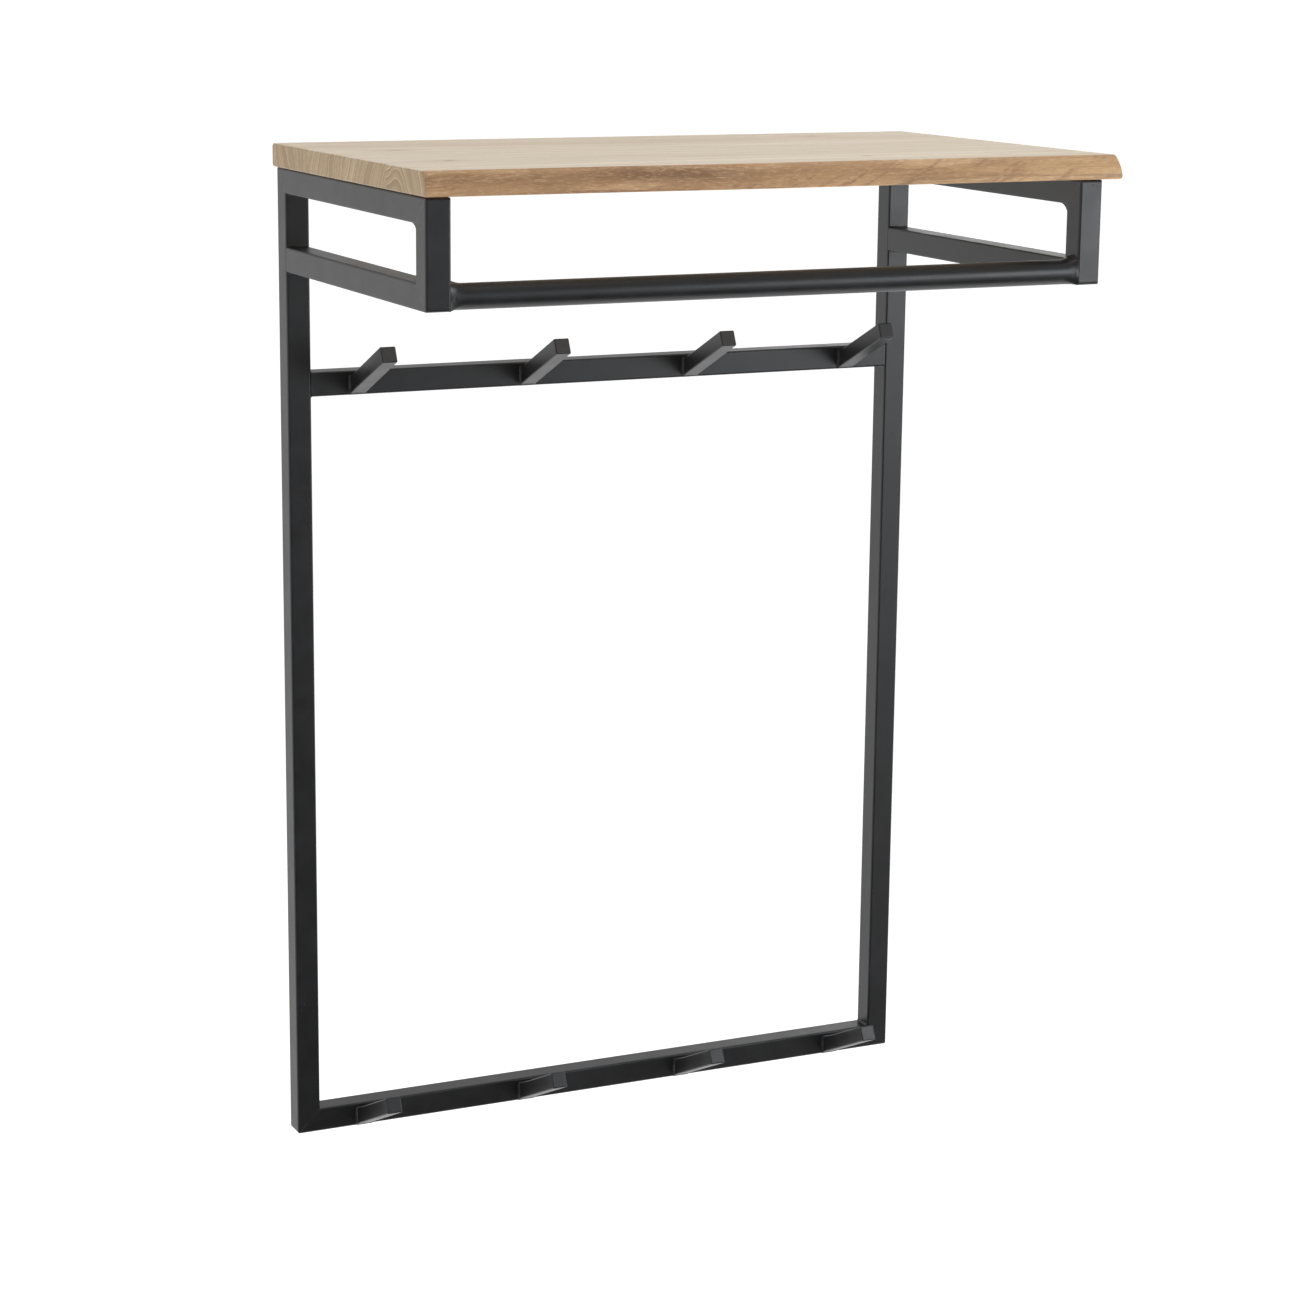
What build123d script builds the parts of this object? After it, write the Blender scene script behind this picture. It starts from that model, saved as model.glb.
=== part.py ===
from build123d import *
from math import cos, pi, radians, sin, tan
import os

# A wall-hung coat rack: a welded square-tube frame that carries a live-edge hat shelf, a round hanging
# rod and two rows of peg hooks. X runs along the shelf, the wall is the plane Y = 0 and the object
# stands out from it towards -Y. The origin is the centre of the four keyholes in the wall plane.

# ---- driving dimensions, mm ------------------------------------------------------------------------
overall_height = 1000          # frame bottom to shelf top
frame_width = 687              # over the two uprights
frame_depth = 388              # wall plane to the front of the brackets
tube = 24                      # outside of the square tube
wall = 1.5                     # tube wall
tube_round = 2                 # outside corner radius of the tube
joint_round = 3                # ground rounding of the welded outer corners

bracket_height = 99            # over the top arm and the lower arm
hook_rail_bottom = 756         # above the frame's bottom

rod_diameter = 23.5
rod_wall = 2

hook_bar = 16                  # square bar that the pegs are cut from
hook_round = 1.3
hook_spacing = 181
hook_reach = 89                # from the rail's face to the peg's lower front edge
hook_rise = 25                 # degrees above level
hook_drop = 1                  # peg's root above the rail's lower edge

shelf_thickness = 23
shelf_depth = 399              # at the furthest point of the live edge
board_count = 4
board_depth = 100              # depth of each glued board behind the front one
back_left, back_right = -348, 345      # shelf ends at the wall
front_left, front_right = -345.5, 361  # shelf ends at the front

keyhole_width = frame_width - tube     # between keyholes on the two uprights
keyhole_height = 800                   # between the lower and the upper keyholes
keyhole_entry, keyhole_slot, keyhole_run = 10, 5, 10

screw_shank, screw_head, screw_head_height, screw_grip = 4.4, 8.5, 2.6, 18
screw_dome = 1                         # rounding of the head's rim
drive_length, drive_width, drive_depth = 5, 1, 1
screw_play = 0.3                       # between the shank and the hole in the arm
pilot_play = 0.05                      # between the thread and the wood
screw_setbacks = (90, 300)             # from the wall plane
access_hole = 10                       # for the screwdriver, in the arm's lower wall

small_weld, corner_weld, hook_weld = 2, 14, 1.6
rod_weld, rod_weld_reach = 3, 6.6      # height of the flare at the post, and its length along the rod
rod_weld_waist = 0.8                   # height of the flare midway
hook_weld_slope = 40                   # degrees that the bead leans in from the rail
reveal = 1                             # how far cutting tools reach past a surface

# ---- places worked out from them --------------------------------------------------------------------
half = frame_width / 2
bottom = -overall_height / 2
top = bottom + overall_height - shelf_thickness     # underside of the shelf
post_line = half - tube / 2                         # X of the uprights' axes
back_line = -tube / 2                               # Y of the uprights' axes
front_line = -frame_depth + tube / 2                # Y of the front posts' axes
rail_z = bottom + tube / 2
hook_rail_z = bottom + hook_rail_bottom + tube / 2
top_arm_z = top - tube / 2
lower_arm_z = top - bracket_height + tube / 2
inner = half - tube                                 # inside faces of the uprights
front_face = -tube                                  # front faces of the uprights and rails
sides = {"left": -1, "right": 1}

parts = {}


def square_tube(start, finish):
    """A straight length of the square tube with square-cut ends."""
    start, finish = Vector(*start), Vector(*finish)
    along = finish - start
    across = Vector(0, 1, 0) if abs(along.Y) < 1e-6 else Vector(1, 0, 0)
    plane = Plane(origin=start, x_dir=across, z_dir=along)
    inside = tube - 2 * wall
    profile = RectangleRounded(tube, tube, tube_round) - RectangleRounded(inside, inside, tube_round / 2)
    return extrude(plane * profile, amount=along.length)


def mitre(piece, corner, keep):
    """Cuts a tube's end at 45 degrees through the corner's centre, keeping the side that keep points to."""
    return split(piece, bisect_by=Plane(origin=corner, z_dir=keep), keep=Keep.TOP)


def corner_prism(point, u, v, radius, width):
    """A square bar of side radius along u and v, hollowed by a quarter circle; it is centred on point."""
    point, u, v = Vector(*point), Vector(*u), Vector(*v)
    plane = Plane(origin=point, x_dir=u, z_dir=u.cross(v))
    section = Rectangle(radius, radius, align=(Align.MIN, Align.MIN)) - Pos(radius, radius) * Circle(radius)
    return extrude(plane * section, amount=width / 2, both=True)


def round_corner(piece, corner, u, v):
    """Grinds the outer edge of a mitred corner round; u and v point out of the corner along the two tubes."""
    u, v = Vector(*u), Vector(*v)
    edge = Vector(*corner) + (u + v) * (tube / 2)
    return piece - corner_prism(edge, -u, -v, joint_round, tube + 2 * reveal)


# ---- frame -------------------------------------------------------------------------------------------
bottom_rail = square_tube((-half, back_line, rail_z), (half, back_line, rail_z))
for name, s in sides.items():
    x = s * post_line
    foot, head = (x, back_line, rail_z), (x, back_line, top_arm_z)
    nose, chin = (x, front_line, top_arm_z), (x, front_line, lower_arm_z)

    upright = square_tube((x, back_line, bottom), (x, back_line, top))
    upright = mitre(upright, foot, (s, 0, 1))
    upright = mitre(upright, head, (0, 1, -1))
    upright = round_corner(upright, foot, (s, 0, 0), (0, 0, -1))
    bottom_rail = mitre(bottom_rail, foot, (-s, 0, -1))
    bottom_rail = round_corner(bottom_rail, foot, (s, 0, 0), (0, 0, -1))
    for level in (-1, 1):
        entry = Plane(origin=(x, reveal, level * keyhole_height / 2), x_dir=(1, 0, 0), z_dir=(0, -1, 0))
        slot = Pos(0, keyhole_run / 2) * Rectangle(keyhole_slot, keyhole_run)
        opening = Circle(keyhole_entry / 2) + slot + Pos(0, keyhole_run) * Circle(keyhole_slot / 2)
        upright -= extrude(entry * opening, amount=wall + 2 * reveal)
    parts[f"{name}_upright"] = upright

    top_arm = square_tube((x, 0, top_arm_z), (x, -frame_depth, top_arm_z))
    top_arm = mitre(mitre(top_arm, head, (0, -1, 1)), nose, (0, 1, 1))
    top_arm = round_corner(top_arm, nose, (0, -1, 0), (0, 0, 1))
    for setback in screw_setbacks:
        top_arm -= Pos(x, -setback, top) * Cylinder(screw_shank / 2 + screw_play, 4 * wall)
        top_arm -= Pos(x, -setback, top - tube) * Cylinder(access_hole / 2, 4 * wall)
    parts[f"{name}_top_arm"] = top_arm

    post = square_tube((x, front_line, top - bracket_height), (x, front_line, top))
    post = mitre(mitre(post, nose, (0, -1, -1)), chin, (0, -1, 1))
    post = round_corner(post, nose, (0, -1, 0), (0, 0, 1))
    parts[f"{name}_front_post"] = round_corner(post, chin, (0, -1, 0), (0, 0, -1))

    lower_arm = square_tube((x, front_face, lower_arm_z), (x, -frame_depth, lower_arm_z))
    lower_arm = mitre(lower_arm, chin, (0, 1, -1))
    parts[f"{name}_lower_arm"] = round_corner(lower_arm, chin, (0, -1, 0), (0, 0, -1))
parts["bottom_rail"] = bottom_rail
parts["hook_rail"] = square_tube((-inner, back_line, hook_rail_z), (inner, back_line, hook_rail_z))

# ---- hanging rod ---------------------------------------------------------------------------------------
rod_plane = Plane(origin=(-inner, front_line, lower_arm_z), x_dir=(0, 1, 0), z_dir=(1, 0, 0))
rod_section = Circle(rod_diameter / 2) - Circle(rod_diameter / 2 - rod_wall)
parts["hanging_rod"] = extrude(rod_plane * rod_section, amount=2 * inner)

# ---- peg hooks -----------------------------------------------------------------------------------------
rise = radians(hook_rise)
peg_length = hook_reach / cos(rise)
root_height = hook_bar / cos(rise)      # the bar's height where the rail's upright face cuts it


def peg(x, root):
    """A square bar that climbs away from the rail; root is the height of its lower edge at the rail."""
    back = hook_bar * tan(rise) + reveal
    plane = Plane(origin=(x, front_face, root), x_dir=(0, -cos(rise), sin(rise)), z_dir=(1, 0, 0))
    side = Pos(-back, 0) * Rectangle(peg_length + back, hook_bar, align=(Align.MIN, Align.MAX))
    bar = extrude(plane * side, amount=hook_bar / 2, both=True)
    bar = split(bar, bisect_by=Plane(origin=(x, front_face, root), z_dir=(0, -1, 0)), keep=Keep.TOP)
    return fillet([e for e in bar.edges() if e.center().Y < front_face - reveal], hook_round)


def peg_weld(x, root):
    """The bead that runs round a peg where it meets the rail, tapering away from the rail's face."""
    plane = Plane(origin=(x, front_face, root + root_height / 2), x_dir=(1, 0, 0), z_dir=(0, -1, 0))
    foot = Rectangle(hook_bar + 2 * hook_weld, root_height + hook_weld)
    return extrude(plane * foot, amount=hook_weld, taper=hook_weld_slope)


hook_welds = []
for row, rail_bottom in (("upper", bottom + hook_rail_bottom), ("lower", bottom)):
    for number in range(4):
        x = (number - 1.5) * hook_spacing
        root = rail_bottom + hook_drop
        parts[f"{row}_hook_{number + 1}"] = peg(x, root)
        hook_welds.append(peg_weld(x, root) - peg(x, root))

# ---- shelf ---------------------------------------------------------------------------------------------
def end_at(y, back, front):
    """X of a shelf end at depth y: the ends run straight from the wall to the front."""
    return back + (front - back) * y / -shelf_depth


def live_edge(u):
    """How far the natural edge stands behind the shelf's full depth, u from 0 at the left to 1."""
    return 2.2 + 1.6 * sin(2 * pi * (1.3 * u + 0.15)) + 0.6 * sin(2 * pi * (3.1 * u + 0.4))


def edge_setback(u):
    """How far the live edge leans back over the board's thickness, more towards the right."""
    return 8 + 4 * u


def front_outline(z, lean):
    """The front board's outline at height z; lean is 0 at its lower face and 1 at its upper face."""
    seam = -(board_count - 1) * board_depth
    steps = [i / 8 for i in range(9)]
    depths = [-shelf_depth + live_edge(u) + lean * edge_setback(u) for u in steps]
    xs = [front_left + (front_right - front_left) * u for u in steps]
    edge = Spline(*[(px, py, z) for px, py in zip(xs, depths)])
    sides_and_back = Polyline(
        (xs[-1], depths[-1], z),
        (end_at(seam, back_right, front_right), seam, z),
        (end_at(seam, back_left, front_left), seam, z),
        (xs[0], depths[0], z),
    )
    return make_face([edge, *sides_and_back.edges()])


boards = []
for number in range(board_count - 1):
    near, far = -number * board_depth, -(number + 1) * board_depth
    outline = Polygon(
        (end_at(far, back_left, front_left), far),
        (end_at(far, back_right, front_right), far),
        (end_at(near, back_right, front_right), near),
        (end_at(near, back_left, front_left), near),
        align=None,
    )
    boards.append(extrude(Pos(0, 0, top) * outline, amount=shelf_thickness))
boards.append(loft([front_outline(top, 0), front_outline(top + shelf_thickness, 1)], ruled=True))


def shelf_screw(x, y):
    """A pan-head screw whose head sits inside the arm, under its upper wall."""
    standing = (Align.CENTER, Align.CENTER, Align.MIN)
    under, face = top - wall, top - wall - screw_head_height
    shank = Pos(x, y, under) * Cylinder(screw_shank / 2, screw_grip + wall, align=standing)
    head = Pos(x, y, face) * Cylinder(screw_head / 2, screw_head_height, align=standing)
    rim = [e for e in head.edges() if e.center().Z < (under + face) / 2]
    cross = Box(drive_length, drive_width, 2 * drive_depth) + Box(drive_width, drive_length, 2 * drive_depth)
    return fillet(rim[:1], screw_dome) + shank - Pos(x, y, face) * cross


shelf_screws = []
for s in sides.values():
    for setback in screw_setbacks:
        shelf_screws.append(shelf_screw(s * post_line, -setback))
        hole = Cylinder(screw_shank / 2 + pilot_play, 2 * (screw_grip + reveal))
        pilot = Pos(s * post_line, -setback, top) * hole
        boards = [board - pilot for board in boards]
for number, board in enumerate(boards):
    parts[f"shelf_board_{number + 1}"] = board

# ---- welds ---------------------------------------------------------------------------------------------
flat = tube - 2 * tube_round
rod_welds, corner_welds, frame_welds = [], [], []
for s in sides.values():
    x = s * post_line
    r = rod_diameter / 2
    crown, waist = (0, r + rod_weld), (rod_weld_reach / 2, r + rod_weld_waist)
    ring = revolve(Polygon((0, r), crown, waist, (rod_weld_reach, r), align=None), Axis.X)
    ring = ring if s < 0 else mirror(ring, about=Plane.YZ)
    ring &= Box(2 * rod_weld_reach, tube, tube)
    rod_welds.append(Pos(s * inner, front_line, lower_arm_z) * ring)

    inside_top = (x, -frame_depth + tube, top - tube)
    corner_welds.append(corner_prism(inside_top, (0, 1, 0), (0, 0, -1), corner_weld, flat))

    for y, z, u, v in (
        (front_face, top - tube, -1, -1),
        (front_face, top - bracket_height + tube, -1, 1),
        (front_face, top - bracket_height, -1, -1),
        (-frame_depth + tube, top - bracket_height + tube, 1, 1),
    ):
        frame_welds.append(corner_prism((x, y, z), (0, u, 0), (0, 0, v), small_weld, flat))
    for z, v in ((bottom + tube, 1), (hook_rail_z - tube / 2, -1), (hook_rail_z + tube / 2, 1)):
        corner = (s * inner, back_line, z)
        frame_welds.append(corner_prism(corner, (-s, 0, 0), (0, 0, v), small_weld, flat))

for name, solids in (
    ("hook_welds", hook_welds),
    ("rod_welds", rod_welds),
    ("corner_welds", corner_welds),
    ("frame_welds", frame_welds),
    ("shelf_screws", shelf_screws),
):
    parts[name] = Compound(children=[s for group in solids for s in group.solids()])

os.makedirs("parts", exist_ok=True)
for name, shape in parts.items():
    export_step(shape, f"parts/{name}.step")
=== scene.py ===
from functools import partial
from math import cos, pi, radians, sin

import bpy
from mathutils import Matrix, Vector, noise


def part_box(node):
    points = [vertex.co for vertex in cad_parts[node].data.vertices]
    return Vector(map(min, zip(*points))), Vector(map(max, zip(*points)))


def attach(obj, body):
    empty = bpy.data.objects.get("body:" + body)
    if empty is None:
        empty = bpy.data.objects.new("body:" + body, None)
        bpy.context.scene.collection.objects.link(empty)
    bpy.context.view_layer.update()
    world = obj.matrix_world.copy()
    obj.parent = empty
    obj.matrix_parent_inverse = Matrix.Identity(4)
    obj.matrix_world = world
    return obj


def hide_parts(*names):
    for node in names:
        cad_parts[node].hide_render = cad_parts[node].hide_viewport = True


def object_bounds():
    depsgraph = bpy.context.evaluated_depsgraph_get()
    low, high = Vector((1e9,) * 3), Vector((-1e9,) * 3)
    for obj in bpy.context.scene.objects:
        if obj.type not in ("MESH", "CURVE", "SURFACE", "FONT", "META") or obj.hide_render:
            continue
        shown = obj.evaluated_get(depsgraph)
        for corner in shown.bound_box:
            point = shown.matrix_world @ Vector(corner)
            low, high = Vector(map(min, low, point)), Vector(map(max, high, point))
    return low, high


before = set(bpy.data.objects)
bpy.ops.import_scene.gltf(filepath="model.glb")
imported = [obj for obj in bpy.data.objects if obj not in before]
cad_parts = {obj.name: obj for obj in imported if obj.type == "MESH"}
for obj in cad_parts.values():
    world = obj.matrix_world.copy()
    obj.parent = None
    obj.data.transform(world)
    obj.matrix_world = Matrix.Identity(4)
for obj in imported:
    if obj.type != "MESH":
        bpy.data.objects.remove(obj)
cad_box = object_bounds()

# A wall-hung coat rack in welded square steel tube with a live-edge hat shelf. Everything is in metres,
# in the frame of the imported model: X along the shelf, the wall at Y = 0, Z up.

MM = 0.001
PEG_RISE = radians(25)                                    # how steeply the pegs point up


# ---- mesh helpers -------------------------------------------------------------------------------------
def new_piece(name, vertices, faces, material, smooth_angle=40, caps=False):
    """A mesh piece, shaded smooth but for its sharp edges. With caps, its last two faces are flat too."""
    mesh = bpy.data.meshes.new(name)
    mesh.from_pydata(vertices, [], faces)
    mesh.validate()
    mesh.update()
    mesh.materials.append(material)
    piece = bpy.data.objects.new(name, mesh)
    bpy.context.scene.collection.objects.link(piece)
    mesh.shade_smooth()
    mesh.set_sharp_from_angle(angle=radians(smooth_angle))
    if caps:
        for polygon in mesh.polygons[-2:]:
            polygon.use_smooth = False
    return piece


def join_loops(loops, closed=False):
    """Vertices and faces of a skin over loops of equal length; open skins get a cap at each end."""
    count = len(loops[0])
    vertices = [point for loop in loops for point in loop]
    faces = []
    last = len(loops) if closed else len(loops) - 1
    for i in range(last):
        a, b = i * count, (i + 1) % len(loops) * count
        for j in range(count):
            k = (j + 1) % count
            faces.append((a + j, a + k, b + k, b + j))
    if not closed:
        faces.append(tuple(reversed(range(count))))
        faces.append(tuple(range(len(vertices) - count, len(vertices))))
    return vertices, faces


def as_root(piece, slot, *nodes):
    """The piece rides on the rack and stands for the CAD nodes; slot is not used."""
    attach(piece, "root")
    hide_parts(*nodes)


# ---- material helper ----------------------------------------------------------------------------------
class Shader:
    """A Principled material whose nodes are added one call at a time."""

    def __init__(self, name):
        self.material = bpy.data.materials.new(name)
        self.material.use_nodes = True
        self.tree = self.material.node_tree
        self.surface = self.tree.nodes["Principled BSDF"]

    def put(self, socket, value):
        if isinstance(value, bpy.types.NodeSocket):
            self.tree.links.new(value, socket)
        else:
            socket.default_value = value

    def node(self, kind, settings=None, inputs=None, out=0):
        made = self.tree.nodes.new(kind)
        for key, value in (settings or {}).items():
            setattr(made, key, value)
        for key, value in (inputs or {}).items():
            self.put(made.inputs[key], value)
        return made.outputs[out]

    def math(self, operation, a, b=0.0, clamp=False):
        return self.node("ShaderNodeMath", {"operation": operation, "use_clamp": clamp}, {0: a, 1: b})

    def vector(self, operation, a, b):
        return self.node("ShaderNodeVectorMath", {"operation": operation}, {0: a, 1: b})

    def dot(self, a, b):
        return self.node("ShaderNodeVectorMath", {"operation": "DOT_PRODUCT"}, {0: a, 1: b}, out="Value")

    def mix(self, factor, a, b):
        return self.node("ShaderNodeMix", {"data_type": "RGBA"}, {0: factor, 6: a, 7: b}, out=2)

    def noise(self, where, scale, detail=3.0, roughness=0.5, distortion=0.0):
        inputs = {"Vector": where, "Scale": scale, "Detail": detail, "Roughness": roughness}
        return self.node("ShaderNodeTexNoise", None, {**inputs, "Distortion": distortion})

    def remap(self, value, low, high, to_low=0.0, to_high=1.0):
        inputs = {"Value": value, 1: low, 2: high, 3: to_low, 4: to_high}
        return self.node("ShaderNodeMapRange", None, inputs)

    def bump(self, height, distance, strength=1.0, normal=None):
        inputs = {"Height": height, "Distance": distance, "Strength": strength}
        if normal is not None:
            inputs["Normal"] = normal
        return self.node("ShaderNodeBump", None, inputs)

    def set(self, **inputs):
        for key, value in inputs.items():
            self.put(self.surface.inputs[key.replace("_", " ")], value)


def linear(value):
    """The linear level of a screen value of 0 to 255."""
    return value / 255 / 12.92 if value <= 10 else ((value / 255 + 0.055) / 1.055) ** 2.4


def rgb(red, green, blue):
    """An opaque linear colour from screen values of 0 to 255."""
    return linear(red), linear(green), linear(blue), 1


# ---- steel --------------------------------------------------------------------------------------------
EDGE_WEAR_AND_HIGHLIGHT_BAND = 1.6 * MM                                      # how far in from an edge the lacquer is rubbed and the painted edge highlight reaches


def steel_material(name, painted_end_highlight=False):
    """Blackened steel under a thin satin lacquer: faint mottling, fine peel, sparse pits, and edges painted
    lighter, partly rubbed lacquer and partly a painted highlight.

    If asked, the faces that point along the pegs are painted lighter, a painted highlight that is strongest
    on the upper row."""
    s = Shader(name)
    where = s.node("ShaderNodeTexCoord", out="Object")
    mottle = s.noise(where, 38, 5, 0.6)
    cloud = s.noise(where, 9, 2)
    tone = s.remap(s.math("ADD", mottle, s.math("MULTIPLY", cloud, 0.8)), 0.62, 1.15)
    body = s.mix(tone, rgb(19, 19, 20), rgb(29, 29, 31))

    # Edges painted lighter and glossier: partly rubbed lacquer, partly a painted highlight for the light that
    # the rounded edges catch.
    bevelled = s.node("ShaderNodeBevel", {"samples": 6}, {"Radius": EDGE_WEAR_AND_HIGHLIGHT_BAND})
    edge = s.remap(s.dot(bevelled, s.node("ShaderNodeNewGeometry", out="Normal")), 0.995, 0.90)
    wear_and_edge_highlight = s.math("MULTIPLY", edge, s.remap(s.noise(where, 120, 4, 0.7), 0.42, 0.7), clamp=True)
    body = s.mix(s.math("MULTIPLY", wear_and_edge_highlight, 0.55), body, rgb(96, 97, 98))
    # Painted highlight: the peg ends made lighter, more so higher up, in place of light from the front and
    # above.
    if painted_end_highlight:
        along_peg = (0, -cos(PEG_RISE), sin(PEG_RISE))
        alike = s.dot(s.node("ShaderNodeTexCoord", out="Normal"), along_peg)
        up = s.node("ShaderNodeSeparateXYZ", None, {0: where}, out="Z")
        end_highlight_mask = s.math("MULTIPLY", s.remap(alike, 0.97, 0.99), s.remap(up, -0.3, 0.1, 0.1, 1.0))
        body = s.mix(end_highlight_mask, body, rgb(60, 60, 62))

    cells = s.node("ShaderNodeTexVoronoi", {"feature": "F1"}, {"Vector": where, "Scale": 210.0})
    rare = s.remap(s.noise(where, 26, 2), 0.56, 0.66)
    pits = s.math("MULTIPLY", s.remap(cells, 0.16, 0.04), rare, clamp=True)
    body = s.mix(s.math("MULTIPLY", pits, 0.7), body, rgb(14, 14, 14))

    peel = s.noise(where, 620, 2, 0.6)
    waves = s.noise(where, 70, 3, 0.5)
    normal = s.bump(peel, 0.05 * MM, 0.35)
    normal = s.bump(waves, 0.25 * MM, 0.07, normal)
    normal = s.bump(s.math("SUBTRACT", 1.0, pits), 0.4 * MM, 0.8, normal)
    rough = s.math("SUBTRACT", s.remap(mottle, 0.3, 0.7, 0.37, 0.43), s.math("MULTIPLY", wear_and_edge_highlight, 0.08))
    s.set(Base_Color=body, Roughness=rough, Normal=normal, IOR=1.5)
    return s.material


def screw_material():
    """Zinc-plated steel with fine spots."""
    s = Shader("zinc_plate")
    where = s.node("ShaderNodeTexCoord", out="Object")
    spots = s.noise(where, 900, 3)
    s.set(
        Base_Color=s.mix(spots, rgb(150, 150, 146), rgb(190, 190, 186)),
        Roughness=s.remap(spots, 0.3, 0.7, 0.25, 0.42),
        Normal=s.bump(spots, 0.03 * MM, 0.4),
        Metallic=1.0,
    )
    return s.material


# ---- wood ---------------------------------------------------------------------------------------------
KNOT_STRETCH = 2.6                                        # a knot's length along the grain over its width
KNOT_HEART = (8 * MM, 2 * MM)                             # where its dark heart starts and is full
KNOT_HALO = (45 * MM, 4 * MM)                             # the same for the swollen rings round it


def knot_masks(s, where, spot):
    """The heart and the halo of a small knot at (X, Y), each 1 in the middle and fading to 0."""
    away = s.vector("MULTIPLY", s.vector("SUBTRACT", where, (*spot, 0.0)), (1.0, KNOT_STRETCH, 0.0))
    distance = s.node("ShaderNodeVectorMath", {"operation": "LENGTH"}, {0: away}, out="Value")
    return s.remap(distance, *KNOT_HEART), s.remap(distance, *KNOT_HALO)


def wood_material(name, pith, ring, tone, seed, knot):
    """Oiled hardwood as a solid: growth rings round a pith line at (Y, Z), so that faces and ends agree.

    The mesh's bark attribute is 1 on the natural edge, which is browner and shows more flame."""
    s = Shader(name)
    where = s.node("ShaderNodeTexCoord", out="Object")
    shifted = s.vector("ADD", where, (seed, 0.0, 0.0))
    long_grain = s.vector("MULTIPLY", shifted, (0.16, 1.0, 1.0))
    along, across, up = s.node("ShaderNodeSeparateXYZ", None, {0: where}).node.outputs
    bark = s.node("ShaderNodeAttribute", {"attribute_name": "bark"}, out="Fac")
    normal = s.node("ShaderNodeTexCoord", out="Normal")
    facing_x = s.node("ShaderNodeSeparateXYZ", None, {0: normal}, out="X")
    end = s.remap(s.math("ABSOLUTE", facing_x), 0.55, 0.85)
    edge = s.math("MULTIPLY", bark, s.math("SUBTRACT", 1.0, end))
    heart, halo = knot_masks(s, where, knot)

    # growth rings, swaying slowly along the board and swelling round the knot
    dy, dz = s.math("SUBTRACT", across, pith[0]), s.math("SUBTRACT", up, pith[1])
    radius = s.math("SQRT", s.math("ADD", s.math("MULTIPLY", dy, dy), s.math("MULTIPLY", dz, dz)))
    radius = s.math("ADD", radius, s.remap(s.noise(long_grain, 9, 2), 0.2, 0.8, -16 * MM, 16 * MM))
    radius = s.math("ADD", radius, s.remap(s.noise(long_grain, 60, 3, 0.6), 0.2, 0.8, -2 * MM, 2 * MM))
    radius = s.math("ADD", radius, s.math("MULTIPLY", halo, 7 * MM))
    turns = s.math("DIVIDE", radius, ring)
    by_ring = {"noise_dimensions": "1D"}
    uneven = s.node("ShaderNodeTexNoise", by_ring, {"W": turns, "Scale": 0.43, "Detail": 2.0})
    turns = s.math("ADD", turns, s.remap(uneven, 0.2, 0.8, -1.1, 1.1))
    saw = s.math("FRACT", turns)
    smooth = {"interpolation_type": "SMOOTHSTEP"}
    dense = s.node("ShaderNodeMapRange", smooth, {"Value": saw, 1: 0.2, 2: 0.85})
    dense = s.math("MULTIPLY", dense, s.remap(saw, 0.86, 0.95, 1.0, 0.0))
    pale_line = s.math("MULTIPLY", s.remap(saw, 0.86, 0.95), s.remap(saw, 0.97, 1.0, 1.0, 0.0))
    zone = s.node("ShaderNodeTexNoise", by_ring, {"W": turns, "Scale": 0.6, "Detail": 1.0})
    zone = s.remap(zone, 0.38, 0.66)

    # finer grain
    patch = s.remap(s.noise(long_grain, 16, 3), 0.34, 0.68)
    fibres = s.noise(s.vector("MULTIPLY", shifted, (14.0, 420.0, 420.0)), 1.0, 4, 0.65)
    flecks = s.noise(s.vector("MULTIPLY", shifted, (130.0, 620.0, 620.0)), 1.0, 3, 0.6)
    pore_cells = s.node(
        "ShaderNodeTexVoronoi", {"feature": "F1"},
        {"Vector": s.vector("MULTIPLY", shifted, (95.0, 900.0, 900.0)), "Scale": 1.0},
    )
    pores = s.math("MULTIPLY", s.remap(pore_cells, 0.34, 0.16), s.remap(fibres, 0.42, 0.6), clamp=True)

    # flame of the natural edge: a dark streak high on the left, an eye in it left of the middle,
    # slanting bands further right and thin lines all along
    level = s.remap(up, UNDER, TOP)
    waver = s.noise(s.vector("MULTIPLY", shifted, (7.0, 0.0, 0.0)), 1.0, 4, 0.6)
    waver = s.remap(waver, 0.3, 0.7, -0.16, 0.16)
    off_streak = s.math("ABSOLUTE", s.math("ADD", s.math("SUBTRACT", level, 0.68), waver))
    streak = s.math("MULTIPLY", s.remap(off_streak, 0.34, 0.08), s.remap(along, 0.14, -0.06))
    turn = {"Vector": shifted, "Angle": radians(24)}
    tilted = s.node("ShaderNodeVectorRotate", {"rotation_type": "Y_AXIS"}, turn)
    bands = s.noise(s.vector("MULTIPLY", tilted, (11.0, 30.0, 85.0)), 1.0, 5, 0.62, 0.8)
    bands = s.math("MULTIPLY", s.remap(bands, 0.5, 0.66, 0.0, 0.7), s.remap(along, -0.16, 0.08, 0.35, 1.0))
    thin = s.noise(s.vector("MULTIPLY", shifted, (7.0, 90.0, 330.0)), 1.0, 4, 0.6)
    thin = s.remap(thin, 0.5, 0.66, 0.0, 0.55)
    by_eye = s.remap(s.math("ABSOLUTE", s.math("ADD", along, 0.11)), 0.15, 0.03)
    eye = s.math("MULTIPLY", s.remap(off_streak, 0.46, 0.12), by_eye)
    flame = s.math("MAXIMUM", s.math("MULTIPLY", streak, 0.6), s.math("MAXIMUM", bands, thin))
    flame = s.math("MAXIMUM", flame, eye)

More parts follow.
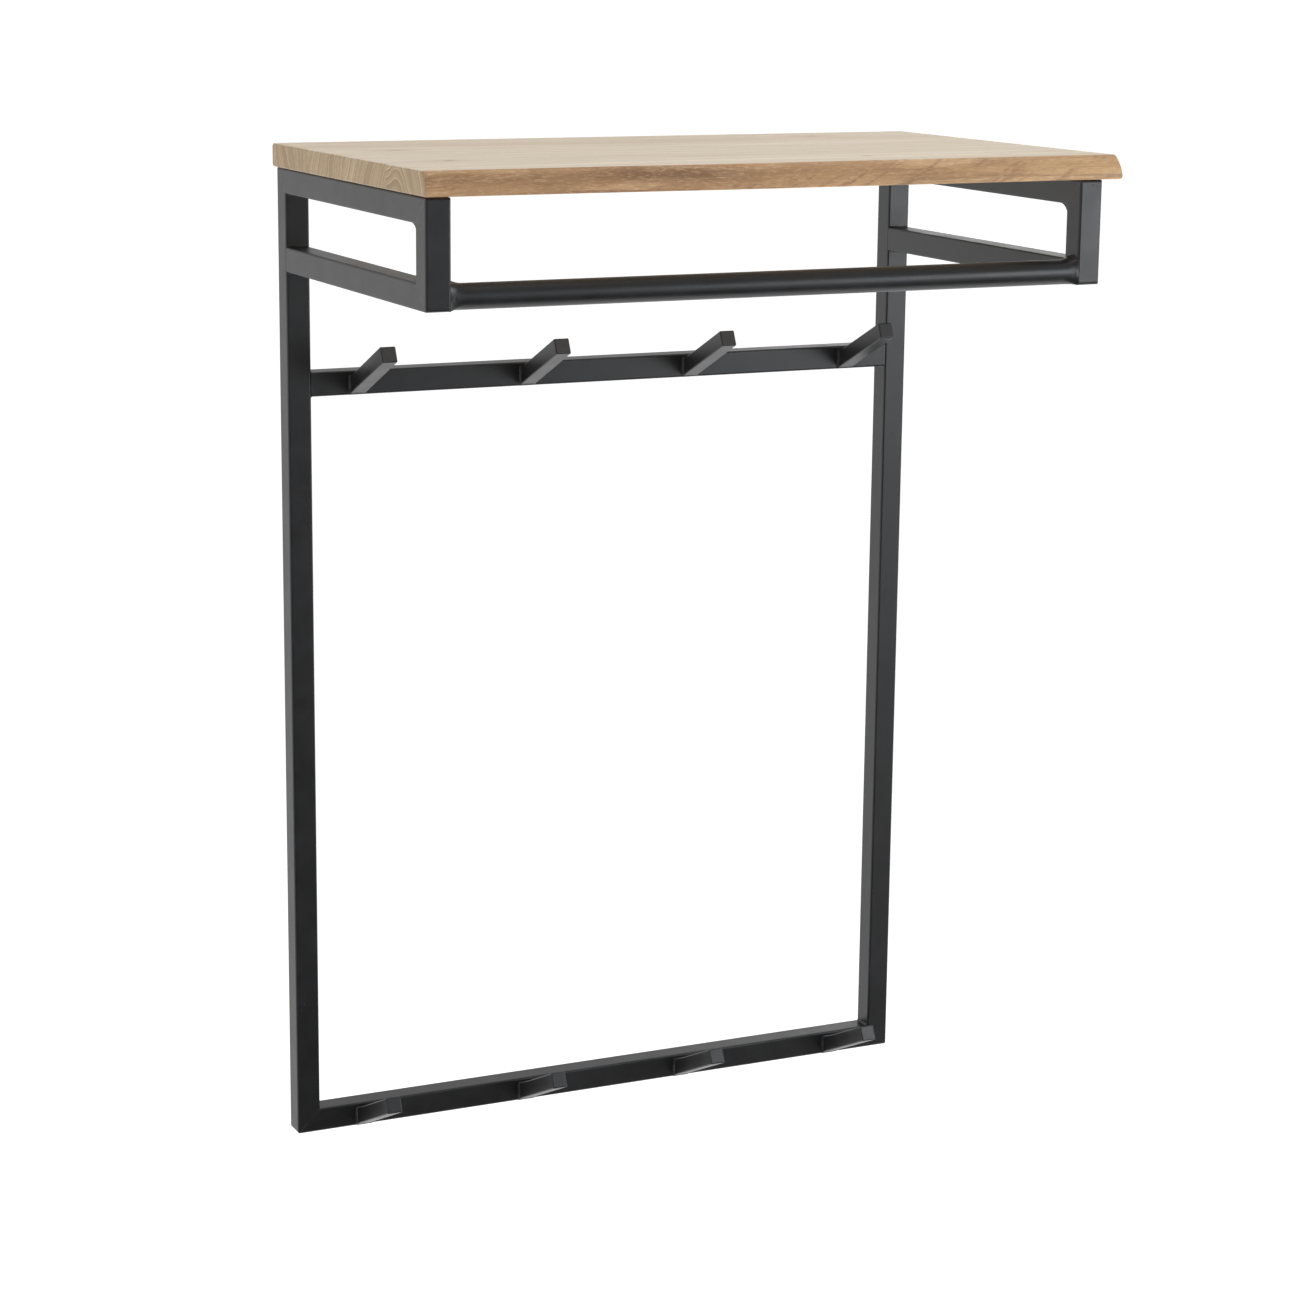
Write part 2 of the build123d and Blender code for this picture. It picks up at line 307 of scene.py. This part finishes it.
    colour = s.mix(patch, rgb(*tone["light"]), rgb(*tone["warm"]))
    colour = s.mix(s.math("MULTIPLY", zone, tone["zone"]), colour, rgb(*tone["dark"]))
    sawn_end = s.mix(patch, rgb(174, 152, 120), rgb(160, 139, 107))
    colour = s.mix(end, colour, sawn_end)
    brown = s.mix(s.remap(along, -0.1, 0.3), rgb(184, 143, 100), rgb(194, 157, 115))
    brown = s.mix(s.math("MULTIPLY", flame, 0.82), brown, rgb(104, 66, 38))
    brown = s.mix(s.remap(flecks, 0.5, 0.66, 0.0, 0.42), brown, rgb(222, 186, 140))
    colour = s.mix(edge, colour, brown)
    strength = s.math("MAXIMUM", s.remap(end, 0, 1, tone["rings"], 0.55), s.math("MULTIPLY", edge, 0.3))
    colour = s.mix(s.math("MULTIPLY", dense, strength), colour, rgb(126, 98, 70))
    colour = s.mix(s.math("MULTIPLY", pale_line, s.remap(end, 0, 1, 0.12, 0.6)), colour, rgb(218, 201, 172))
    colour = s.mix(s.remap(fibres, 0.35, 0.72, 0.0, 0.22), colour, rgb(136, 106, 78))
    colour = s.mix(s.math("MULTIPLY", pores, 0.4), colour, rgb(92, 66, 46))
    colour = s.mix(s.math("MULTIPLY", halo, 0.25), colour, rgb(140, 100, 66))
    colour = s.mix(s.math("MULTIPLY", heart, 0.85), colour, rgb(72, 48, 34))

    height = s.math("SUBTRACT", s.math("MULTIPLY", fibres, 0.5), pores)
    height = s.math("ADD", height, s.math("MULTIPLY", dense, 0.5))
    s.set(Base_Color=colour, Roughness=s.remap(fibres, 0.3, 0.7, 0.5, 0.62), IOR=1.47)
    s.set(Normal=s.bump(height, 0.12 * MM, 0.5))
    return s.material


# ---- shelf --------------------------------------------------------------------------------------------
SHELF_NODES = [f"shelf_board_{i}" for i in range(1, 5)]
shelf_boxes = [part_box(n) for n in SHELF_NODES]
FRAME_GAP = 0.6 * MM                                      # dark line between the frame and the shelf
UNDER, TOP = shelf_boxes[0][0].z + FRAME_GAP, shelf_boxes[0][1].z
SEAMS = [low.y for low, high in shelf_boxes[:3]]          # Y of the glued joints behind the front board
DEPTH = -shelf_boxes[3][0].y + 0.25 * MM                  # nominal reach of the natural edge
BACK_LEFT, BACK_RIGHT = -348 * MM, 345 * MM
FRONT_LEFT, FRONT_RIGHT = -345.5 * MM, 361 * MM
SOFT = 1.8 * MM                                           # sanded rounding of the shelf's ends
BACK_ROUND = 3 * MM                                       # rounding of its long edges at the wall
SEAM_POINTS = 4                                           # first points of the front section, at its joint
SEAM_EASE = 0.25 * MM                                     # easing of the corners at a glued joint
ARRIS = 1.3 * MM                                          # width over which the edge's brown gives way on top


def shelf_end(y, back, front):
    """X of a shelf end at depth y."""
    return back + (front - back) * y / -DEPTH


def live_edge(u):
    """How far the natural edge stands behind the shelf's full depth, u from 0 at the left to 1."""
    swell = 1.6 * sin(2 * pi * (1.3 * u + 0.15)) + 0.6 * sin(2 * pi * (3.1 * u + 0.4))
    return (2.2 + swell) * MM


def arc(centre, radius, start, finish, steps):
    """Points of an arc in the Y-Z plane; angles in degrees from +Y towards +Z."""
    angles = [radians(start + (finish - start) * i / steps) for i in range(steps + 1)]
    return [(centre[0] + radius * cos(a), centre[1] + radius * sin(a)) for a in angles]


def seam_corners(y, direction, top, under):
    """The upper and the lower corner at a glued joint, each eased so that the joint just shows."""
    top_pair = [(y - direction * SEAM_EASE, top), (y, top - SEAM_EASE)]
    bottom_pair = [(y, under + SEAM_EASE), (y - direction * SEAM_EASE, under)]
    return top_pair, bottom_pair


def plain_section(_, drawn, near, far, rear):
    """The section of a board behind the front one, the same all along: near is Y of its wall side.

    Its outer faces lie drawn inside their places, for the softened ends."""
    top, under = TOP - drawn, UNDER + drawn
    if rear:
        r = BACK_ROUND - 0.5 * drawn
        y = near - drawn - r
        near_side = arc((y, top - r), r, 90, 0, 6) + arc((y, under + r), r, 0, -90, 6)
    else:
        top_pair, bottom_pair = seam_corners(near, 1, top, under)
        near_side = top_pair + bottom_pair
    top_pair, bottom_pair = seam_corners(far, -1, top, under)
    return near_side + bottom_pair[::-1] + top_pair[::-1]


def front_section(u, drawn):
    """The front board's section at u, with its natural edge: it leans more and is fuller to the right."""
    top, under = TOP - drawn, UNDER + drawn
    reach = -DEPTH + live_edge(u) + drawn
    lean = (7.5 + 6.5 * u) * MM
    power = 1.2 + 0.22 * u * u
    toe = 3.2 * MM - 0.5 * drawn
    high = top - under - toe
    top_pair, bottom_pair = seam_corners(SEAMS[2], 1, top, under)
    toe_arc = arc((reach + toe, under + toe), toe, 270, 180, 4)
    steps = 16
    curve = []
    for i in range(1, steps + 1):
        a = pi / 2 * (1 - i / steps)
        out, rise = sin(a) ** (2 / power), cos(a) ** (2 / power)
        dent = 0.35 * MM * noise.noise(Vector((u * 34, rise * 2.2, 7.0))) * sin(pi * rise) ** 0.5
        curve.append((reach + lean * (1 - out) + dent, under + toe + high * rise))
    curve.append((curve[-1][0] + ARRIS, top))
    return top_pair + bottom_pair + toe_arc + curve


def board(name, section_at, material, bark_from=None):
    """Sweeps section_at(u, drawn) from the left end to the right, with both ends rounded off by SOFT.

    Each section's points from bark_from on, but for the last, lie on the natural edge."""
    stations = 96
    turned = [radians(a) for a in (0, 22, 45, 67, 85)]
    lefts = [(0.0, SOFT * (1 - cos(a)), SOFT * (1 - sin(a))) for a in turned]
    middles = [(i / stations, 0.0, 0.0) for i in range(1, stations)]
    rights = [(1.0, -shift, drawn) for _, shift, drawn in reversed(lefts)]
    loops = []
    for u, shift, drawn in lefts + middles + rights:
        loop = []
        for y, z in section_at(u, drawn):
            left = shelf_end(y, BACK_LEFT, FRONT_LEFT) + SOFT
            right = shelf_end(y, BACK_RIGHT, FRONT_RIGHT) - SOFT
            x = left + (right - left) * u
            if u == 0.0:
                x += shift - SOFT
            elif u == 1.0:
                x += shift + SOFT
            loop.append((x, y, z))
        loops.append(loop)
    piece = new_piece(name, *join_loops(loops), material, caps=True)
    bark = piece.data.attributes.new("bark", "FLOAT", "POINT")
    if bark_from is not None:
        count = len(loops[0])
        for i, point in enumerate(bark.data):
            point.value = 1.0 if bark_from <= i % count < count - 1 else 0.0
    return piece


TONES = [
    {"light": (206, 194, 174), "warm": (198, 182, 159), "dark": (168, 148, 124), "zone": 0.4, "rings": 0.12},
    {"light": (209, 198, 179), "warm": (201, 187, 165), "dark": (174, 155, 132), "zone": 0.35, "rings": 0.1},
    {"light": (208, 197, 178), "warm": (200, 185, 163), "dark": (176, 158, 136), "zone": 0.4, "rings": 0.12},
    {"light": (212, 201, 182), "warm": (204, 190, 168), "dark": (180, 162, 139), "zone": 0.35, "rings": 0.1},
]
PITHS = [(0.42, 0.36), (-0.62, 0.30), (-0.375, 0.405), (-0.318, 0.448)]       # (Y, Z) of each board's pith
RINGS = [5.2 * MM, 6.4 * MM, 8 * MM, 7 * MM]                                  # a year's growth in each
KNOTS = [(0.21, -0.052), (-0.274, -0.135), (-0.276, -0.276), (0.12, -0.33)]   # (X, Y) of each board's knot


def build_shelf():
    """The boards from the wall to the front; the last one has the natural edge."""
    sides = [0.0, *SEAMS]
    for i, node in enumerate(SHELF_NODES):
        seed = 3.7 * i + 1.3
        wood = wood_material(f"wood_board_{i + 1}", PITHS[i], RINGS[i], TONES[i], seed, KNOTS[i])
        if i < len(SEAMS):
            section = partial(plain_section, near=sides[i], far=sides[i + 1], rear=i == 0)
            piece = board(f"shelf_plank_{i + 1}", section, wood)
        else:
            piece = board("live_edge_plank", front_section, wood, SEAM_POINTS)
        as_root(piece, "shelf_wood", node)


# ---- welds --------------------------------------------------------------------------------------------
FLARE_REACH, FLARE_SWELL = 16 * MM, 5 * MM                # a rod weld's length along the rod, and its height
FLARE_LUMPS = 0.5 * MM                                    # its unevenness
SINK = 1 * MM                                             # how far it starts inside the post
BEAD, BEAD_LUMPS = 1.8 * MM, 0.7 * MM                     # a peg weld's thickness, and its unevenness
BEAD_HOLLOW = 0.5                                         # how much thinner it is midway


def lump(x, y, z, size=1.0):
    """A smooth unevenness from -1 to 1, the same each run, with lumps of about size millimetres."""
    return noise.noise(Vector((x, y, z)) / (size * MM))


def rod_flares(steel):
    """The ground weld at each end of the rod: the round bar swells into the square post."""
    low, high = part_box("hanging_rod")
    cy, cz, r = (low.y + high.y) / 2, (low.z + high.z) / 2, (high.z - low.z) / 2
    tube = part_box("left_front_post")
    half = (tube[1].x - tube[0].x) / 2
    around, along = 48, 12
    for name, side, face in (("left", 1, low.x), ("right", -1, high.x)):
        loops = []
        for i in range(along + 1):
            t = i / along
            x = face - side * SINK + side * (FLARE_REACH + SINK) * t
            loop = []
            for j in range(around):
                a = 2 * pi * j / around
                dy, dz = cos(a), sin(a)
                # in front and below, it stays within the post's faces
                limit = min(half / -dy if dy < -0.3 else 1.0, half / -dz if dz < -0.3 else 1.0)
                wide = min(FLARE_SWELL * (1 + 0.3 * lump(dy * 2.2, dz * 2.2, side * 5, 1000)), limit - r)
                uneven = FLARE_LUMPS * lump(dy * 40, dz * 40, t * 60, 11) * (1 - t) ** 1.5
                grow = wide * (1 - t) ** 2.3 + uneven
                loop.append((x, cy + dy * (r + grow), cz + dz * (r + grow)))
            loops.append(loop if side > 0 else loop[::-1])
        piece = new_piece(f"rod_weld_{name}", *join_loops(loops), steel, 60)
        as_root(piece, "black_steel", "rod_welds")


def hook_beads(steel):
    """An uneven, hollow fillet of weld round the foot of every peg, within its rail's front face."""
    rail_low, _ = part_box("hook_rail")
    face = rail_low.y
    steps = 64
    lean = Vector((0, -cos(PEG_RISE), sin(PEG_RISE)))
    for row, rail in (("upper", "hook_rail"), ("lower", "bottom_rail")):
        floor_z, roof_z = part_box(rail)[0].z + 0.3 * MM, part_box(rail)[1].z - 0.6 * MM
        for number in range(1, 5):
            low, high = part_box(f"{row}_hook_{number}")
            bar = high.x - low.x
            tall = bar / cos(PEG_RISE)
            x0, z0 = (low.x + high.x) / 2, low.z + tall / 2
            loops = []
            seed = number * 17 + (row == "upper") * 71
            for i in range(steps):
                a = 2 * pi * (i + 0.5) / steps
                reach = 1 / max(abs(cos(a)), abs(sin(a)))
                px, pz = cos(a) * reach * bar / 2, sin(a) * reach * tall / 2
                out = Vector((cos(a), 0, sin(a)))
                thick = BEAD + BEAD_LUMPS * noise.noise(Vector((seed, cos(a) * 3.1, sin(a) * 3.1)))
                foot = Vector((x0 + px, face, z0 + pz))
                loop = []
                for k in range(7):
                    b = k / 6 * pi / 2
                    hollow = 1 - BEAD_HOLLOW * sin(2 * b)
                    loop.append(foot + (out * cos(b) + lean * sin(b)) * thick * hollow)
                inside = foot - out * 0.6 * MM
                loop.append(inside + lean * thick * 0.6)
                loop.append(inside - lean * 0.6 * MM)
                loop.append(foot + out * thick * 0.8 - lean * 0.5 * MM)
                loops.append([(x, y, min(max(z, floor_z), roof_z)) for x, y, z in loop])
            vertices, faces = join_loops(loops, closed=True)
            piece = new_piece(f"{row}_hook_weld_{number}", vertices, faces, steel, 50)
            as_root(piece, "black_steel", "hook_welds")


# ---- surroundings -------------------------------------------------------------------------------------
FLOOR = cad_box[0].z - 1.1                                # Z of the floor, with the rack up on a wall
DOME = 40.0                                               # the backdrop's radius


def unseen_by(piece, *rays):
    """Hides a piece from the named kinds of ray."""
    for ray in rays:
        setattr(piece, f"visible_{ray}", False)


def pale_floor():
    """A wide pale floor, a little over a metre under the rack."""
    size = 300.0
    corners = [(-size, -size, FLOOR), (size, -size, FLOOR), (size, size, FLOOR), (-size, size, FLOOR)]
    s = Shader("pale_floor")
    where = s.node("ShaderNodeTexCoord", out="Object")
    mottled = s.mix(s.noise(where, 2.0), (0.86, 0.86, 0.86, 1), (0.9, 0.9, 0.9, 1))
    s.set(Base_Color=mottled, Roughness=0.7, Emission_Color=(1, 1, 1, 1), Emission_Strength=0.5)
    floor = new_piece("floor", corners, [(0, 1, 2, 3)], s.material)


def backdrop():
    """A white dome over the floor that only the camera sees, so that every view has a plain background."""
    around, rings = 48, 10
    turns = [2 * pi * j / around for j in range(around)]
    loops = []
    for i in range(rings):
        climb = pi / 2 * i / rings
        out, up = DOME * cos(climb), FLOOR + DOME * sin(climb)
        loops.append([(out * cos(a), out * sin(a), up) for a in turns])
    s = Shader("backdrop")
    s.set(Base_Color=(0, 0, 0, 1), Emission_Color=(1, 1, 1, 1), Emission_Strength=1.0)
    vertices, faces = join_loops(loops)
    del faces[-2]                                         # open where it meets the floor
    dome = new_piece("backdrop", vertices, faces, s.material)
    unseen_by(dome, "diffuse", "glossy", "shadow", "transmission")


def black_cards():
    """A card over the floor and one upright behind the camera, seen only in gloss.

    They keep the front of the steel dark."""
    s = Shader("black_card")
    s.set(Base_Color=(0.02, 0.02, 0.02, 1), Roughness=1.0)
    left, flat_right, upright_right, near, far = -3.0, 3.0, 1.5, -0.8, -3.7
    low, high = cad_box[0].z - 1.05, 0.25
    flat = [(left, near, low), (flat_right, near, low), (flat_right, far, low), (left, far, low)]
    upright = [(left, far, low), (upright_right, far, low), (upright_right, far, high), (left, far, high)]
    for name, corners in (("card_flat", flat), ("card_upright", upright)):
        card = new_piece(name, corners, [(0, 1, 2, 3)], s.material)
        unseen_by(card, "camera", "diffuse", "shadow", "transmission")


def soft_box(name, place, target, size, power, colour=(1, 1, 1)):
    """A rectangular studio light that faces target."""
    light = bpy.data.lights.new(name, "AREA")
    light.shape = "RECTANGLE"
    light.size, light.size_y = size
    light.energy = power
    light.color = colour
    lamp = bpy.data.objects.new(name, light)
    unseen_by(lamp, "camera")
    lamp.location = place
    lamp.rotation_euler = (Vector(target) - Vector(place)).to_track_quat("-Z", "Y").to_euler()
    bpy.context.scene.collection.objects.link(lamp)


def studio():
    """A white room, brighter behind the rack than in front of it and towards the ceiling, and four lights."""
    world = bpy.data.worlds.new("studio")
    bpy.context.scene.world = world
    world.use_nodes = True
    tree = world.node_tree
    background = tree.nodes["Background"]
    direction = tree.nodes.new("ShaderNodeTexCoord")
    split = tree.nodes.new("ShaderNodeSeparateXYZ")
    ramp = tree.nodes.new("ShaderNodeMapRange")
    ceiling = tree.nodes.new("ShaderNodeMath")
    ceiling.operation = "MULTIPLY_ADD"
    ceiling.inputs[1].default_value = 0.1                 # gain in strength from the horizon to overhead
    tree.links.new(direction.outputs["Generated"], split.inputs[0])
    tree.links.new(split.outputs["Y"], ramp.inputs["Value"])
    front_to_back = {"From Min": -0.8, "From Max": 0.2, "To Min": 0.25, "To Max": 0.7}
    for socket, value in front_to_back.items():
        ramp.inputs[socket].default_value = value
    tree.links.new(split.outputs["Z"], ceiling.inputs[0])
    tree.links.new(ramp.outputs[0], ceiling.inputs[2])
    tree.links.new(ceiling.outputs[0], background.inputs["Strength"])
    background.inputs["Color"].default_value = (1, 1, 1, 1)

    centre = (0, -0.2, 0.1)
    soft_box("key_left", (-3.4, 0.4, 1.0), centre, (2.4, 2.4), 20, (1.0, 0.985, 0.96))
    soft_box("fill_right", (1.95, -2.4, 0.6), centre, (1.2, 1.15), 33, (0.9, 0.95, 1.0))
    soft_box("back_right", (3.0, 3.3, 0.75), centre, (2.0, 0.45), 8)
    soft_box("overhead", (0.1, -0.3, 3.0), centre, (2.2, 1.4), 36)


def camera():
    """To the left of the rack, 0.2 m above its shelf, with a long lens."""
    place = (-1.371, -2.993, 0.702)
    yaw, pitch, roll = radians(25.55), radians(-12.50), radians(0.61)
    ahead = Vector((sin(yaw) * cos(pitch), cos(yaw) * cos(pitch), sin(pitch)))
    level = Vector((cos(yaw), -sin(yaw), 0))
    up = level.cross(ahead)
    right = level * cos(roll) + up * sin(roll)
    above = -level * sin(roll) + up * cos(roll)
    data = bpy.data.cameras.new("camera")
    data.sensor_width = 36
    data.lens = 89.8
    data.clip_start, data.clip_end = 0.1, 100
    eye = bpy.data.objects.new("camera", data)
    turn = Matrix((right, above, -ahead)).transposed().to_4x4()
    eye.matrix_world = Matrix.Translation(place) @ turn
    bpy.context.scene.collection.objects.link(eye)
    bpy.context.scene.camera = eye


# ---- putting it together ------------------------------------------------------------------------------
steel = steel_material("blackened_steel")
peg_steel = steel_material("peg_steel", painted_end_highlight=True)
screws = screw_material()
for name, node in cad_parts.items():
    finish = screws if name == "shelf_screws" else peg_steel if "_hook_" in name else steel
    node.data.materials.clear()
    node.data.materials.append(finish)
build_shelf()
rod_flares(steel)
hook_beads(steel)
pale_floor()
backdrop()
black_cards()
studio()
camera()
bpy.context.scene.view_settings.view_transform = "Standard"
